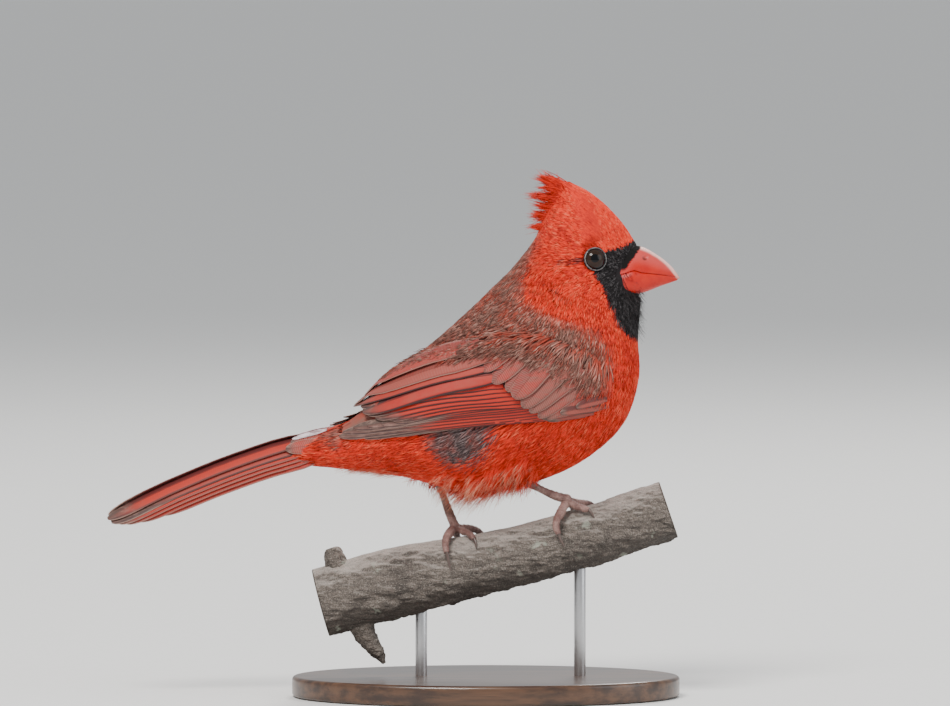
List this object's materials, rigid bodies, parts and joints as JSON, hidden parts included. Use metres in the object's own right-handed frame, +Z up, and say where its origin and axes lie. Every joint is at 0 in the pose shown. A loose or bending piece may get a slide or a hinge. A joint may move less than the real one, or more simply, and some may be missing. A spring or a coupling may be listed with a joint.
{
  "type": "songbird model",
  "caption": "Life-size male northern cardinal, red with a black face mask and raised crest, perched on a short branch held by rods on an oval base.",
  "frame": {"origin": "middle of the underside of the stand's base", "axes": "+X the way the bird faces, +Y the bird's left, +Z up"},
  "size_m": [0.1951, 0.084, 0.1776],
  "materials": {
    "plumage": "soft matte feathers, orange red, greyer on the back, with a black mask",
    "flight_feathers": "smooth feathers, dull red with grey brown edges",
    "bill": "satin horn, coral red",
    "eye": "wet gloss, dark brown",
    "leg_skin": "scaled skin, pinkish brown",
    "bark": "rough fissured bark, grey brown",
    "stand_wood": "satin varnish, dark",
    "stand_steel": "brushed"
  },
  "bodies": {
    "root": {"torso": "plumage", "neck": "plumage", "head": "plumage", "bill_upper": "bill", "bill_lower": "bill", "eye_right": "eye", "eye_left": "eye", "wing_right": "flight_feathers", "wing_left": "flight_feathers", "tail": "flight_feathers", "leg_right": "leg_skin", "leg_left": "leg_skin", "perch": "bark", "stand_base": "stand_wood", "stand_rod_rear": "stand_steel", "stand_rod_front": "stand_steel"}
  },
  "joints": []
}
